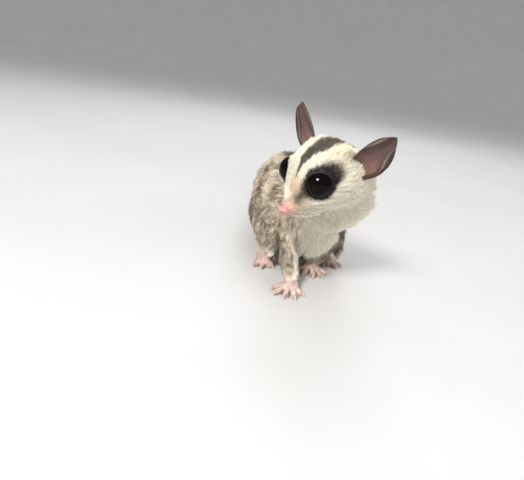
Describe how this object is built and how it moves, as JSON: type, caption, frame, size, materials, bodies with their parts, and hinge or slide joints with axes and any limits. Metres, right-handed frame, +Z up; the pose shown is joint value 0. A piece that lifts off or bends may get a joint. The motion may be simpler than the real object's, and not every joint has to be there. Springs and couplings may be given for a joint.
{
  "type": "sugar glider model",
  "caption": "Life-size still model of a sugar glider crouched on the floor, head turned to its right, bushy tail laid behind it.",
  "frame": {"origin": "middle of the footprint, on the floor", "axes": "+Z up; the body faces -Y and its left side is +X; the tail runs back along +Y"},
  "size_m": [0.0882, 0.2628, 0.0722],
  "materials": {
    "grey_fur": "matte",
    "cream_fur": "matte",
    "tail_fur": "matte",
    "bare_skin": "satin",
    "nose_skin": "satin",
    "ear_skin": "satin",
    "claw": "satin",
    "eye": "gloss"
  },
  "bodies": {
    "root": {"head": "cream_fur", "lower_jaw": "cream_fur", "nose": "nose_skin", "eye_left": "eye", "eye_right": "eye", "ear_left": "ear_skin", "ear_right": "ear_skin", "hand_left": "bare_skin", "foot_left": "bare_skin", "forearm_left": "grey_fur", "upper_arm_left": "grey_fur", "shank_left": "grey_fur", "thigh_left": "grey_fur", "membrane_left": "grey_fur", "hand_right": "bare_skin", "foot_right": "bare_skin", "forearm_right": "grey_fur", "upper_arm_right": "grey_fur", "shank_right": "grey_fur", "thigh_right": "grey_fur", "membrane_right": "grey_fur", "neck": "grey_fur", "chest": "grey_fur", "belly": "grey_fur", "rump": "grey_fur", "tail_base": "tail_fur", "tail_middle": "tail_fur", "tail_end": "tail_fur"}
  },
  "joints": []
}
